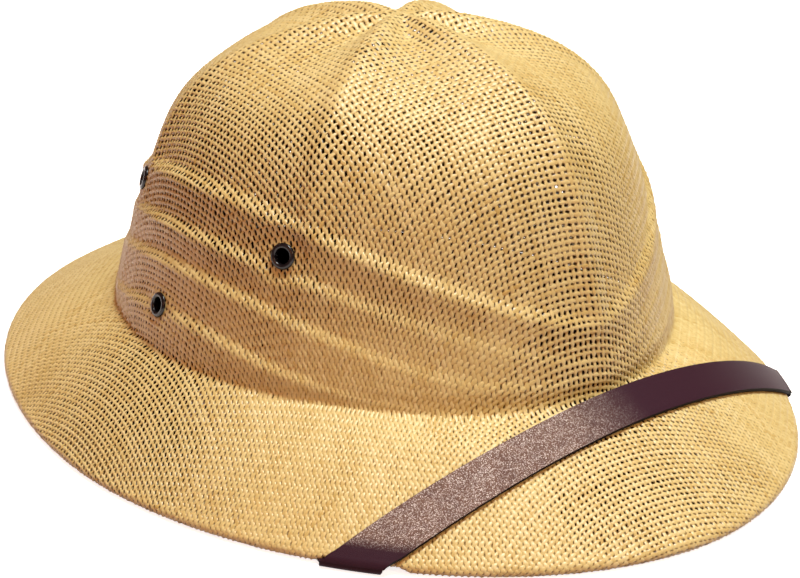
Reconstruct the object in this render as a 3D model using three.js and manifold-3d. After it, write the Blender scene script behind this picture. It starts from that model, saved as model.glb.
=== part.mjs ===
// Woven straw sun helmet with a chin strap stored over its front brim.
// Millimetres, +Z up, front towards -Y, wearer's left towards +X, resting on the brim at z = 0.
// Angles go round the hat from the front (-Y) towards the wearer's left (+X), in radians.

import * as THREE from 'three';
import { mergeVertices } from 'three/addons/utils/BufferGeometryUtils.js';
import Module from 'manifold-3d';

const wasm = await Module();
wasm.setup();

// Driving dimensions
const wall = 1.8;
const gap = 0.3;
const planPower = 1.92;

const crown = {
  halfWidth: 103.2,
  halfLength: 111.2,
  centreY: -4.5,
  base: 35,
  height: 106.6,
  taper: 0.3,
  topPower: 7.6,
  topRound: 1.43,
};

const brim = { halfWidth: 138.6, front: 164, rear: 176, bulge: 1.2 };
const brimCentreY = (brim.front - brim.rear) / 2;

// Turned-down edge of the brim, shallower where the strap passes under it so that the strap clears the floor
const lip = { drop: 4.2, corner: 1.5, cornerDrop: 0.7, chamfer: 0.4, width: 2.4 };
const strapNotch = { angle: 47, depth: 2.2, half: 8, blend: 24 };

// Raised ribs from the top of the crown down to the band, with flatter panels between them
const rib = { count: 6, height: 1.8, halfWidth: 5, underBand: 0.25, startRadius: 18 };
const panelSag = { wall: 0.7, top: 3.2, fromShare: 0.6, fullShare: 0.95 };

// Folds of the moulded band, top to bottom: height above the crown's base at the sides and at
// the front and back, how far the fold stands out, and how fast it falls back below its ledge
const folds = [
  { side: 61, front: 21.8, depth: 2.2, fall: 1.9 },
  { side: 46.5, front: 11.6, depth: 2.0, fall: 1.3 },
  { side: 31.4, front: 6.4, depth: 1.8, fall: 1.2 },
  { side: 15.5, front: 2.6, depth: 1.5, fall: 1 },
];
const foldRise = 1.2;
const foldLedge = 1.2;
const ledgeShare = 0.2;
const foldTail = 0.15;
const foldFrontShare = 0.45;
const foldInnerShare = 0.7;

// Vent eyelets of one side: angle from the front and height above the crown's base
const eyelets = [
  { name: 'front', angle: 65, height: 44.5 },
  { name: 'rear', angle: 122, height: 46.5 },
  { name: 'low', angle: 96, height: 15.3 },
];
const eyelet = { flangeRadius: 4.7, flange: 0.7, barrelRadius: 3.4, holeRadius: 2.7, edge: 0.35 };
const seat = { radius: 5.6, above: 0.9, below: 2.6, flatRadius: 5.5, blendRadius: 11 };

// Chin strap: half width seen from above, the line it takes over the brim and its end under it
const strap = {
  thickness: 1.5,
  halfWidth: 6.4,
  centreY: -123.6,
  bow: 0.0014,
  edgeX: 108,
  edgeSkew: 6.4,
  edgeShare: 0.94,
  endAngle: 79,
  flatAngle: 71,
  postAngle: 75.5,
  endShare: 0.22,
};
const post = { headRadius: 4.5, head: 1.2, shankRadius: 1.8, clear: 0.4 };

// Resolution
const ribColumns = [0, 2.5, 5.5, 10, 17, 25, 35, 43, 50, 54.5, 57.5];
const innerRowStep = 2;
const domeRows = 9;
const domeCrowding = 1.7;
const brimRows = [0.08, 0.3, 0.55, 0.8, 0.95];
const strapAcross = [-1, -0.5, 0, 0.5, 1];
const strapOverSteps = 36;
const strapUnderSteps = 6;
const roundSides = 12;

// Colours from the photograph
const straw = new THREE.MeshStandardMaterial({ color: 0xe3c88f, roughness: 0.55, metalness: 0 });
const blackMetal = new THREE.MeshStandardMaterial({ color: 0x15130f, roughness: 0.3, metalness: 0.6 });
const leather = new THREE.MeshStandardMaterial({ color: 0x4a3234, roughness: 0.4, metalness: 0 });

const radians = THREE.MathUtils.degToRad;
const lerp = THREE.MathUtils.lerp;
const smooth = (x, low, high) => THREE.MathUtils.smoothstep(x, low, high);

// Distance from the middle to an oval outline whose front and rear halves differ
function planRadius(angle, halfWidth, front, rear) {
  const across = Math.abs(Math.sin(angle)) / halfWidth;
  const along = Math.abs(Math.cos(angle)) / (Math.cos(angle) > 0 ? front : rear);
  return (across ** planPower + along ** planPower) ** (-1 / planPower);
}

const crownRadius = (angle) => planRadius(angle, crown.halfWidth, crown.halfLength, crown.halfLength);
const brimRadius = (angle) => planRadius(angle, brim.halfWidth, brim.front, brim.rear);

// Point of a vertical section: distance from the axis, height, and the axis's own place
function sectionPoint(angle, radius, z, centreY) {
  return new THREE.Vector3(radius * Math.sin(angle), centreY - radius * Math.cos(angle), z);
}

// Share of the crown's base radius that is left at a share of its height
function crownTaper(share) {
  return (1 - share ** crown.topPower) ** (1 / crown.topRound) * (1 - crown.taper * share);
}

// How far round a fold line has risen from its front height to its side height
const foldClimb = (angle) => Math.abs(Math.sin(angle)) ** foldRise;
const foldHeight = (fold, angle) => lerp(fold.front, fold.side, foldClimb(angle));
const foldDepth = (fold, angle) => fold.depth * lerp(foldFrontShare, 1, foldClimb(angle));

// Half height of a fold's ledge, narrower where the folds run together at the front
function ledgeHalf(index, angle) {
  const below = index + 1 < folds.length ? foldHeight(folds[index + 1], angle) : 0;
  return Math.min(foldLedge, ledgeShare * (foldHeight(folds[index], angle) - below));
}

// Relief of the band: each fold steps out at its ledge and slopes back in down to the next ledge
function bandRelief(angle, height) {
  let above = 0;
  for (let index = 0; index < folds.length; index += 1) {
    const middle = foldHeight(folds[index], angle);
    const half = ledgeHalf(index, angle);
    const depth = foldDepth(folds[index], angle);
    if (height > middle - half) {
      return lerp(depth, above, smooth(height, middle - half, middle + half));
    }
    const last = index + 1 === folds.length;
    const foot = last ? 0 : foldHeight(folds[index + 1], angle) + ledgeHalf(index + 1, angle);
    above = foldTail * depth;
    if (height > foot) {
      return lerp(above, depth, ((height - foot) / (middle - half - foot)) ** folds[index].fall);
    }
  }
  return above;
}

// Relief of the ribs and the panels between them
function ribRelief(angle, height) {
  const turn = (2 * Math.PI) / rib.count;
  const offset = angle - turn * Math.round(angle / turn);
  const radius = crownRadius(angle) * crownTaper(height / crown.height);
  const beside = (radius * offset) / rib.halfWidth;
  const bump = Math.exp(-beside * beside);
  const top = foldHeight(folds[0], angle);
  const share = smooth(height / crown.height, panelSag.fromShare, panelSag.fullShare);
  const sag = lerp(panelSag.wall, panelSag.top, share);
  const panel = 0.5 - 0.5 * Math.cos(rib.count * angle);
  const overBand = lerp(rib.underBand, 1, smooth(height, top - rib.halfWidth, top + foldLedge));
  return overBand * smooth(radius, 0, rib.startRadius) * (rib.height * bump - sag * panel);
}

const plainRelief = (angle, height) => bandRelief(angle, height) + ribRelief(angle, height);

// Places of all six eyelets, with the sign of their side
const eyeletPlaces = [];
for (const side of [-1, 1]) {
  for (const { name, angle, height } of eyelets) {
    const label = `eyelet_${side < 0 ? 'right' : 'left'}_${name}`;
    eyeletPlaces.push({ label, angle: side * radians(angle), height });
  }
}

// Relief of the crown, pressed flat round each eyelet
function relief(angle, height) {
  let value = plainRelief(angle, height);
  for (const place of eyeletPlaces) {
    const radius = crownRadius(place.angle) * crownTaper(place.height / crown.height);
    const away = Math.hypot(radius * (angle - place.angle), height - place.height);
    const pressed = 1 - smooth(away, seat.flatRadius, seat.blendRadius);
    value = lerp(value, plainRelief(place.angle, place.height), pressed);
  }
  return value;
}

// Outward direction of the crown's plain section, as distance from the axis and height
function crownSlope(angle, share) {
  const step = 1e-4;
  const low = Math.min(share, 1 - step);
  const run = crownRadius(angle) * (crownTaper(low + step) - crownTaper(low));
  return new THREE.Vector2(crown.height * step, -run).normalize();
}

// Crown surface at an angle and a height above its base; inner is its inside face
function crownPoint(angle, height, inner = false) {
  const share = height / crown.height;
  const slope = crownSlope(angle, share);
  const shape = relief(angle, height);
  const out = inner ? foldInnerShare * shape - wall : shape;
  const radius = Math.max(crownRadius(angle) * crownTaper(share) + slope.x * out, 0);
  return sectionPoint(angle, radius, crown.base + height + slope.y * out, crown.centreY);
}

// Height of the turned-down edge above the floor
function edgeLift(angle) {
  const away = Math.abs(Math.abs(angle) - radians(strapNotch.angle));
  return strapNotch.depth * (1 - smooth(away, radians(strapNotch.half), radians(strapNotch.blend)));
}

// Brim surface at a share of the way from the crown's base to the turned-down edge
function brimSection(angle, share) {
  const inside = new THREE.Vector2(crownRadius(angle), crown.base);
  const outside = new THREE.Vector2(brimRadius(angle) - lip.corner, lip.drop);
  const fall = outside.clone().sub(inside);
  const up = new THREE.Vector2(-fall.y, fall.x).normalize();
  const bulge = 4 * brim.bulge * share * (1 - share);
  return { point: inside.lerp(outside, share).addScaledVector(up, bulge), up };
}

const brimMiddle = (share) => lerp(crown.centreY, brimCentreY, share);

function brimPoint(angle, share, out = 0) {
  const { point, up } = brimSection(angle, share);
  point.addScaledVector(up, out);
  return sectionPoint(angle, point.x, point.y, brimMiddle(share));
}

// Inside corner where the crown's inner face meets the underside of the brim
function innerCorner(angle) {
  const slope = crownSlope(angle, 0);
  const { point, up } = brimSection(angle, 0);
  const miter = slope.clone().add(up).divideScalar(1 + slope.dot(up));
  point.addScaledVector(miter, -wall);
  return sectionPoint(angle, point.x, point.y, crown.centreY);
}

// Point of the turned-down edge: distance in from the rim and height above the floor
function lipPoint(angle, inward, z) {
  return sectionPoint(angle, brimRadius(angle) - inward, z, brimCentreY);
}

// Height under the brim where the inside of the turned-down edge meets its underside
function lipInside(angle) {
  const under = brimSection(angle, 1);
  const along = (lip.width - lip.corner) / under.up.y;
  return lip.drop + along * under.up.x - wall / under.up.y;
}

// Rows of the crown from the top down, as heights above its base at an angle
function crownHeights(angle) {
  const first = foldHeight(folds[0], angle) + ledgeHalf(0, angle);
  const heights = [];
  for (let row = 1; row <= domeRows; row += 1) {
    heights.push(lerp(crown.height, first, (row / domeRows) ** domeCrowding));
  }
  for (let index = 0; index < folds.length; index += 1) {
    const middle = foldHeight(folds[index], angle);
    const lower = middle - ledgeHalf(index, angle);
    const last = index + 1 === folds.length;
    const foot = last ? 0 : foldHeight(folds[index + 1], angle) + ledgeHalf(index + 1, angle);
    heights.push(middle, lower, lerp(lower, foot, 0.5));
    if (!last) {
      heights.push(foot);
    }
  }
  return heights;
}

// Closed solid from rings of points that run from one pole to the other
function solidFromRings(firstPole, rings, lastPole) {
  const columns = rings[0].length;
  const points = [firstPole, ...rings.flat(), lastPole];
  const lastIndex = points.length - 1;
  const at = (row, column) => 1 + row * columns + (column % columns);
  const faces = [];
  for (let column = 0; column < columns; column += 1) {
    faces.push(0, at(0, column), at(0, column + 1));
    for (let row = 0; row + 1 < rings.length; row += 1) {
      faces.push(at(row, column), at(row + 1, column), at(row + 1, column + 1));
      faces.push(at(row, column), at(row + 1, column + 1), at(row, column + 1));
    }
    faces.push(lastIndex, at(rings.length - 1, column + 1), at(rings.length - 1, column));
  }
  const geometry = new THREE.BufferGeometry().setFromPoints(points);
  geometry.setIndex(faces);
  return geometry;
}

// Boolean solids
function toSolid(geometry) {
  const bare = geometry.clone();
  bare.deleteAttribute('normal');
  bare.deleteAttribute('uv');
  const merged = mergeVertices(bare);
  return new wasm.Manifold(new wasm.Mesh({
    numProp: 3,
    vertProperties: new Float32Array(merged.attributes.position.array),
    triVerts: new Uint32Array(merged.index.array),
  }));
}

function toGeometry(solid) {
  const mesh = solid.getMesh();
  const geometry = new THREE.BufferGeometry();
  geometry.setAttribute('position', new THREE.BufferAttribute(mesh.vertProperties, 3));
  geometry.setIndex(new THREE.BufferAttribute(mesh.triVerts, 1));
  geometry.computeVertexNormals();
  return geometry;
}

// Round solid along a direction, from the heights low to high beside a point
function plugAt({ point, normal }, radius, low, high) {
  const geometry = new THREE.CylinderGeometry(radius, radius, high - low, roundSides);
  geometry.translate(0, (high + low) / 2, 0);
  geometry.applyQuaternion(new THREE.Quaternion().setFromUnitVectors(THREE.Object3D.DEFAULT_UP, normal));
  geometry.translate(point.x, point.y, point.z);
  return toSolid(geometry);
}

// Outside point and direction of the crown where an eyelet sits
function eyeletFrame({ angle, height }) {
  const step = 0.02;
  const point = crownPoint(angle, height);
  const round = crownPoint(angle + step, height).sub(crownPoint(angle - step, height));
  const upward = crownPoint(angle, height + 1).sub(crownPoint(angle, height - 1));
  return { point, normal: round.cross(upward).normalize() };
}

function buildShell() {
  const angles = [];
  for (let panel = 0; panel < rib.count; panel += 1) {
    for (const column of ribColumns) {
      angles.push(radians((panel * 360) / rib.count + column));
    }
  }
  const signed = (angle) => (angle > Math.PI ? angle - 2 * Math.PI : angle);
  const ring = (place) => angles.map((angle) => place(signed(angle)));
  const rows = crownHeights(0).length;
  const rings = [];
  for (let row = 0; row < rows; row += 1) {
    rings.push(ring((angle) => crownPoint(angle, crownHeights(angle)[row])));
  }
  rings.push(ring((angle) => brimPoint(angle, 0)));
  for (const share of brimRows) {
    rings.push(ring((angle) => brimPoint(angle, share)));
  }
  rings.push(ring((angle) => lipPoint(angle, lip.corner, lip.drop)));
  rings.push(ring((angle) => lipPoint(angle, 0, lip.drop - lip.cornerDrop)));
  rings.push(ring((angle) => lipPoint(angle, 0, edgeLift(angle) + lip.chamfer)));
  rings.push(ring((angle) => lipPoint(angle, lip.chamfer, edgeLift(angle))));
  rings.push(ring((angle) => lipPoint(angle, lip.width, edgeLift(angle))));
  rings.push(ring((angle) => lipPoint(angle, lip.width, lipInside(angle))));
  for (const share of brimRows.toReversed().slice(1)) {
    rings.push(ring((angle) => brimPoint(angle, share, -wall)));
  }
  rings.push(ring(innerCorner));
  for (let row = rows - 2; row >= 0; row -= innerRowStep) {
    rings.push(ring((angle) => crownPoint(angle, crownHeights(angle)[row], true)));
  }
  const top = crownPoint(0, crown.height);
  const insideTop = crownPoint(0, crown.height, true);
  let solid = toSolid(solidFromRings(top, rings, insideTop));
  for (const place of eyeletPlaces) {
    const frame = eyeletFrame(place);
    solid = solid.add(plugAt(frame, seat.radius, -seat.below, seat.above));
    const hole = plugAt(frame, eyelet.barrelRadius + gap, -2 * seat.below, 2 * seat.below);
    solid = solid.subtract(hole);
  }
  return toGeometry(solid);
}

// Eyelet turned about its own axis, with a flange on each face of the wall
function buildEyelet() {
  const { flangeRadius, flange, barrelRadius, holeRadius, edge } = eyelet;
  const outside = seat.above + gap;
  const inside = -seat.below - gap;
  const profile = [
    [holeRadius, inside - flange],
    [flangeRadius, inside - flange],
    [flangeRadius, inside],
    [barrelRadius, inside],
    [barrelRadius, outside],
    [flangeRadius, outside],
    [flangeRadius - edge, outside + flange],
    [holeRadius + edge, outside + flange],
    [holeRadius, outside],
    [holeRadius, inside - flange],
  ];
  return new THREE.LatheGeometry(profile.map(([x, y]) => new THREE.Vector2(x, y)), roundSides);
}

// Place on the brim that lies above or below a point of the floor
function brimPlace(x, y) {
  let share = 0.5;
  let angle = 0;
  for (let round = 0; round < 8; round += 1) {
    const middle = brimMiddle(share);
    angle = Math.atan2(x, middle - y);
    const inside = crownRadius(angle);
    const outside = brimRadius(angle) - lip.corner;
    share = (Math.hypot(x, y - middle) - inside) / (outside - inside);
  }
  return { angle, share };
}

// Outward direction of the brim's top face
function brimNormal(angle, share) {
  const step = 0.01;
  const round = brimPoint(angle + step, share).sub(brimPoint(angle - step, share));
  const outward = brimPoint(angle, share + step).sub(brimPoint(angle, share - step));
  return outward.cross(round).normalize();
}

// Stations of one half of the strap, from the middle of the brim out to its end on that side
// Each station has the face that lies on the hat and the direction away from it, across the strap
function strapHalf(side) {
  const stations = [];
  const halfSteps = strapOverSteps / 2;
  const edgeAngles = [];
  for (const across of strapAcross) {
    const x = side * (strap.edgeX + across * strap.edgeSkew);
    const y = strap.centreY + across * strap.halfWidth + strap.bow * x * x;
    edgeAngles.push(brimPlace(x, y).angle);
  }
  for (let step = 0; step <= halfSteps; step += 1) {
    stations.push(strapAcross.map((across) => {
      const x = ((side * step) / halfSteps) * strap.edgeShare * (strap.edgeX + across * strap.edgeSkew);
      const y = strap.centreY + across * strap.halfWidth + strap.bow * x * x;
      const { angle, share } = brimPlace(x, y);
      const away = brimNormal(angle, share);
      return { face: brimPoint(angle, share, gap), away };
    }));
  }
  // Round the turned-down edge: distance in from the rim, height and direction in the section
  const turn = [
    { inward: lip.corner, z: lip.drop + 1.5 * gap, tilt: 48 },
    { inward: -gap, z: lip.drop - lip.cornerDrop + gap, tilt: 20 },
    { inward: -gap, z: strapNotch.depth, tilt: -20 },
    { inward: lip.chamfer, z: strapNotch.depth - gap, tilt: -80 },
    { inward: lip.width, z: strapNotch.depth - gap, tilt: -100 },
  ];
  for (const { inward, z, tilt } of turn) {
    stations.push(edgeAngles.map((angle) => {
      const out = Math.cos(radians(tilt));
      const away = sectionPoint(angle, out, Math.sin(radians(tilt)), 0);
      return { face: lipPoint(angle, inward, z), away };
    }));
  }
  // Under the brim, straight to the place where the strap lies flat against it and ends
  const flat = (degrees) => strapAcross.map((across) => {
    const angle = side * radians(degrees);
    const reach = brimRadius(angle) - lip.corner - crownRadius(angle);
    const share = strap.endShare + (across * strap.halfWidth) / reach;
    const away = brimNormal(angle, share).negate();
    return { face: brimPoint(angle, share, -wall - gap), away };
  });
  const from = stations.at(-1);
  const to = flat(strap.flatAngle);
  for (let step = 1; step < strapUnderSteps; step += 1) {
    const share = step / strapUnderSteps;
    stations.push(from.map((start, column) => ({
      face: start.face.clone().lerp(to[column].face, share),
      away: start.away.clone().lerp(to[column].away, share).normalize(),
    })));
  }
  stations.push(to, flat(strap.postAngle), flat(strap.endAngle));
  return stations;
}

// Where the post holds the strap: the brim's underside, looking down away from it
function postFrame(side) {
  const angle = side * radians(strap.postAngle);
  const normal = brimNormal(angle, strap.endShare).negate();
  return { point: brimPoint(angle, strap.endShare, -wall), normal };
}

function buildStrap() {
  const left = strapHalf(1);
  const right = strapHalf(-1);
  const stations = [...right.slice(1).reverse(), ...left];
  const rings = stations.map((station) => {
    const near = station.map(({ face }) => face);
    const far = station.map(({ face, away }) => face.clone().addScaledVector(away, strap.thickness));
    return [...far, ...near.reverse()];
  });
  const middle = (ring) => {
    const half = strapAcross.length;
    const inner = ring[(half - 1) / 2];
    const outer = ring[half + (half - 1) / 2];
    return inner.clone().lerp(outer, 0.5);
  };
  let solid = toSolid(solidFromRings(middle(rings[0]), rings, middle(rings.at(-1))));
  for (const side of [-1, 1]) {
    const radius = post.shankRadius + post.clear;
    solid = solid.subtract(plugAt(postFrame(side), radius, -gap, 4 * strap.thickness));
  }
  return toGeometry(solid);
}

// Plain rivet: a shank through the strap and a flat head over it
function buildPost() {
  const under = 2 * gap + strap.thickness;
  const profile = [
    [0, gap],
    [post.shankRadius, gap],
    [post.shankRadius, under],
    [post.headRadius, under],
    [post.headRadius, under + post.head],
    [0, under + post.head],
  ];
  return new THREE.LatheGeometry(profile.map(([x, y]) => new THREE.Vector2(x, y)), roundSides);
}

const helmet = new THREE.Group();

function addPiece(name, geometry, material, frame) {
  const mesh = new THREE.Mesh(geometry, material.clone());
  mesh.name = name;
  if (frame) {
    mesh.position.copy(frame.point);
    mesh.quaternion.setFromUnitVectors(THREE.Object3D.DEFAULT_UP, frame.normal);
  }
  helmet.add(mesh);
}

addPiece('shell', buildShell(), straw);
for (const place of eyeletPlaces) {
  addPiece(place.label, buildEyelet(), blackMetal, eyeletFrame(place));
}
addPiece('strap', buildStrap(), leather);
addPiece('strap_post_right', buildPost(), blackMetal, postFrame(-1));
addPiece('strap_post_left', buildPost(), blackMetal, postFrame(1));

export default helmet;
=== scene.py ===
import math

import bpy
import numpy as np
from mathutils import Matrix, Vector


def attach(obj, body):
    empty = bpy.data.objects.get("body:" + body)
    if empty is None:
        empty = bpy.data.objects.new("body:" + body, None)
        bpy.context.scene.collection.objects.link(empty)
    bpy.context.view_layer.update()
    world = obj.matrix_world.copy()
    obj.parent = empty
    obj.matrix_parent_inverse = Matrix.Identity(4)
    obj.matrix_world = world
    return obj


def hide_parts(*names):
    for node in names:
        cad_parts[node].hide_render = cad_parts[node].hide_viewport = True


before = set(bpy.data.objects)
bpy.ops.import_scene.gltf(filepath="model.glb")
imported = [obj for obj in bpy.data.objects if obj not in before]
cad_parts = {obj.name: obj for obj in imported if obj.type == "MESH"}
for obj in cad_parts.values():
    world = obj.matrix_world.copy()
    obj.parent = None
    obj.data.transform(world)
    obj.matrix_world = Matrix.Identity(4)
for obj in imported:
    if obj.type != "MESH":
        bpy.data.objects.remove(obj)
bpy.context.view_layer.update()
bpy.ops.object.select_all(action="DESELECT")
mm = 0.001
print("frame loaded:", len(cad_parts), "nodes")


# Camera at the photograph's angle, and a pale floor under soft light

shot = {
    "eye": (-0.4371, -0.4998, 0.3070),
    "back": (-0.6144, -0.6908, 0.3812),  # from the hat towards the camera
    "roll": 1.359,  # degrees
    "lens": 85.26,
    "sensor": 36.0,
}
room = {
    "floorSize": 12.0,
    "floorColour": "FFFFFF",
    "floorRoughness": 0.9,
    "floorGloss": 0.2,
    "floorGlow": 0.8,  # the sweep is lit from behind, so that shadows on it stay pale
    "toothSize": 40.0,  # mm, far coarser than in life
    "toothBump": (0.02, 0.5),  # strength, and depth in mm
    "skyColour": "FFB28C",
    "skyStrength": 0.29,
    "tableColour": "FABDB4",
    "tableStrength": 0.24,  # light thrown up from below
    "horizon": 0.1,  # half of the height over which the two blend
    # name, place, size, watts, colour
    "lamps": [
        ("keyLamp", (0.30, -0.48, 3.0), 0.9, 95.0, "FDFFFB"),
        ("frontLamp", (-0.36, -2.25, 1.95), 0.9, 16.5, "FFD8AC"),
        ("sideLamp", (-2.2, -0.7, 1.3), 0.9, 9.2, "FF945A"),
    ],
    "aim": (0.0, 0.0, 0.06),
}


def linearColour(text):
    # sRGB hex to the linear values that the shaders work in
    parts = [int(text[k:k + 2], 16) / 255 for k in (0, 2, 4)]
    straight = [c / 12.92 if c <= 0.04045 else ((c + 0.055) / 1.055) ** 2.4 for c in parts]
    return (*straight, 1.0)


def addNode(tree, kind, inputs=None, **settings):
    made = tree.nodes.new(kind)
    for name, value in settings.items():
        setattr(made, name, value)
    for name, value in (inputs or {}).items():
        if isinstance(value, bpy.types.NodeSocket):
            tree.links.new(value, made.inputs[name])
        else:
            made.inputs[name].default_value = value
    return made


def newMaterial(name):
    made = bpy.data.materials.new(name)
    made.use_nodes = True
    made.node_tree.nodes.clear()
    return made, made.node_tree


def addNoise(tree, size, detail=2.0):
    # cloudy pattern in the piece's own coordinates, with spots of about this size in mm
    place = addNode(tree, "ShaderNodeTexCoord")
    made = addNode(tree, "ShaderNodeTexNoise", {
        "Vector": place.outputs["Object"], "Scale": 1 / (size * mm), "Detail": detail})
    return made.outputs["Fac"]


def addBump(tree, height, strength, depth):
    made = addNode(tree, "ShaderNodeBump", {"Strength": strength, "Distance": depth * mm, "Height": height})
    return made.outputs["Normal"]


def addMath(tree, operation, *values):
    return addNode(tree, "ShaderNodeMath", dict(enumerate(values)), operation=operation).outputs["Value"]


def mapRange(tree, value, low, high, toLow=0.0, toHigh=1.0, **settings):
    made = addNode(tree, "ShaderNodeMapRange", {
        "Value": value, "From Min": low, "From Max": high, "To Min": toLow, "To Max": toHigh}, **settings)
    return made.outputs["Result"]


def mixColours(tree, share, low, high):
    return addNode(tree, "ShaderNodeMix", {0: share, 6: low, 7: high}, data_type="RGBA").outputs[2]


def finishMaterial(tree, inputs):
    shader = addNode(tree, "ShaderNodeBsdfPrincipled", inputs)
    addNode(tree, "ShaderNodeOutputMaterial", {"Surface": shader.outputs["BSDF"]})


def placeCamera():
    back = Vector(shot["back"]).normalized()
    level = Vector((0, 0, 1)).cross(back).normalized()
    above = back.cross(level)
    turn = math.radians(shot["roll"])
    right = level * math.cos(turn) + above * math.sin(turn)
    up = back.cross(right)
    data = bpy.data.cameras.new("camera")
    data.lens = shot["lens"]
    data.sensor_width = shot["sensor"]
    camera = bpy.data.objects.new("camera", data)
    bpy.context.collection.objects.link(camera)
    turned = Matrix((right, up, back)).transposed().to_4x4()
    camera.matrix_world = Matrix.Translation(shot["eye"]) @ turned
    bpy.context.scene.camera = camera


def makeRoom():
    bpy.ops.mesh.primitive_plane_add(size=room["floorSize"])
    floor = bpy.context.object
    floor.name = "floor"
    paper, tree = newMaterial("matte white paper")
    # matte paper sweep: no gloss, a trace of tooth
    white = linearColour(room["floorColour"])
    finishMaterial(tree, {
        "Base Color": white,
        "Roughness": room["floorRoughness"],
        "Specular IOR Level": room["floorGloss"],
        "Emission Color": white,
        "Emission Strength": room["floorGlow"],
        "Normal": addBump(tree, addNoise(tree, room["toothSize"]), *room["toothBump"]),
    })
    floor.data.materials.append(paper)
    floor.visible_diffuse = False  # what light comes from below is set by the table values instead
    world = bpy.data.worlds.new("softRoom")
    world.use_nodes = True
    tree = world.node_tree
    tree.nodes.clear()
    # an even ceiling above, a little warm light from below
    toward = addNode(tree, "ShaderNodeTexCoord")
    height = addNode(tree, "ShaderNodeSeparateXYZ", {"Vector": toward.outputs["Generated"]})
    table, sky = (addNode(tree, "ShaderNodeBackground", {
        "Color": linearColour(room[part + "Colour"]),
        "Strength": room[part + "Strength"],
    }) for part in ("table", "sky"))
    around = addNode(tree, "ShaderNodeMixShader", {
        0: mapRange(tree, height.outputs["Z"], -room["horizon"], room["horizon"]),
        1: table.outputs["Background"],
        2: sky.outputs["Background"],
    })
    addNode(tree, "ShaderNodeOutputWorld", {"Surface": around.outputs["Shader"]})
    bpy.context.scene.world = world
    for name, place, size, watts, colour in room["lamps"]:
        data = bpy.data.lights.new(name, "AREA")
        data.shape = "DISK"
        data.size = size
        data.energy = watts
        data.color = linearColour(colour)[:3]
        lamp = bpy.data.objects.new(name, data)
        lamp.location = place
        lamp.rotation_euler = (Vector(place) - Vector(room["aim"])).to_track_quat("Z", "Y").to_euler()
        bpy.context.collection.objects.link(lamp)
    bpy.context.scene.view_settings.view_transform = "Standard"


placeCamera()
makeRoom()
print("camera, floor and lamps placed")


# Shape of the hat in millimetres: angles go round from the front (-Y) towards the wearer's left (+X)

hat = {
    "planPower": 1.92,
    "crownHalfWidth": 103.2,
    "crownHalfLength": 111.2,
    "crownCentreY": -4.5,
    "crownBase": 35.0,
    "crownHeight": 106.6,
    "taper": 0.3,
    "topPower": 7.6,
    "topRound": 1.43,
    "brimHalfWidth": 138.6,
    "brimFront": 164.0,
    "brimRear": 176.0,
    "brimCentreY": -6.0,
    "brimBulge": 1.2,
    "lipCorner": 1.5,
    "lipDrop": 4.2,
}
strapNotch = {"angle": 45, "depth": 2.2, "half": 4.2, "blend": 6.2}  # edge lifted where the strap goes under
ribs = {"count": 6, "height": 1.8, "halfWidth": 5.0, "underBand": 0.25, "startRadius": 18.0}
panelSag = {"wall": 0.7, "top": 3.2, "fromShare": 0.6, "fullShare": 0.95}
# height at the sides and at the front and how it climbs between them, how far it stands out, what is left of
# that at the front and how it fades, half height of its ledge, how fast it falls back under the ledge
foldParts = "side", "front", "rise", "depth", "frontShare", "fade", "ledge", "fall"
folds = [dict(zip(foldParts, values)) for values in (
    (60.0, 21.8, 1.2, 2.2, 0.5, 1.2, 2.8, 1.5),
    (43.6, 9.6, 1.2, 2.3, 0.2, 4.0, 2.1, 1.3),
    (31.4, 6.4, 2.3, 2.1, 0.2, 4.0, 2.1, 1.2),
    (15.5, 2.0, 6.0, 1.7, 0.1, 4.0, 2.0, 1.0),
)]
# most that a ledge takes of the fold's height, and how much of its depth is left at the fold's foot
foldStyle = {"ledgeShare": 0.2, "tail": 0.15}
# the wall is pinched in at its foot, and the brim dips to meet it at the front
foot = {"pinch": 0.9, "reach": 8.0, "dip": 2.4, "dipShare": 0.3, "dipAngles": (18.0, 58.0)}
# angle from the front, height above the crown's base
ventPlaces = {"front": (65, 44.5), "rear": (122, 46.5), "low": (96, 15.3)}
ventPress = {"flatRadius": 5.5, "blendRadius": 11.0}


def lerp(low, high, share):
    return low + (high - low) * share


def smoothStep(value, low, high):
    share = np.clip((value - low) / (high - low), 0, 1)
    return share * share * (3 - 2 * share)


def planRadius(angle, halfWidth, front, rear):
    power = hat["planPower"]
    across = np.abs(np.sin(angle)) / halfWidth
    along = np.abs(np.cos(angle)) / np.where(np.cos(angle) > 0, front, rear)
    return (across ** power + along ** power) ** (-1 / power)


def crownRadius(angle):
    return planRadius(angle, hat["crownHalfWidth"], hat["crownHalfLength"], hat["crownHalfLength"])


def brimRadius(angle):
    return planRadius(angle, hat["brimHalfWidth"], hat["brimFront"], hat["brimRear"])


def brimRun(angle):
    # from the foot of the crown to where the edge starts to turn down
    return brimRadius(angle) - hat["lipCorner"] - crownRadius(angle)


def wrapped(angle):
    # the same direction, at most half a turn either way
    return (angle + np.pi) % (2 * np.pi) - np.pi


def crownTaper(share):
    rounded = np.maximum(1 - share ** hat["topPower"], 0) ** (1 / hat["topRound"])
    return rounded * (1 - hat["taper"] * share)


def sideways(angle, power):
    # 0 at the front and the back, 1 at the sides
    return np.abs(np.sin(angle)) ** power


def foldHeight(fold, angle):
    return lerp(fold["front"], fold["side"], sideways(angle, fold["rise"]))


def ledgeHalf(index, angle):
    below = foldHeight(folds[index + 1], angle) if index + 1 < len(folds) else 0
    space = foldHeight(folds[index], angle) - below
    return np.minimum(folds[index]["ledge"], foldStyle["ledgeShare"] * space)


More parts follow.
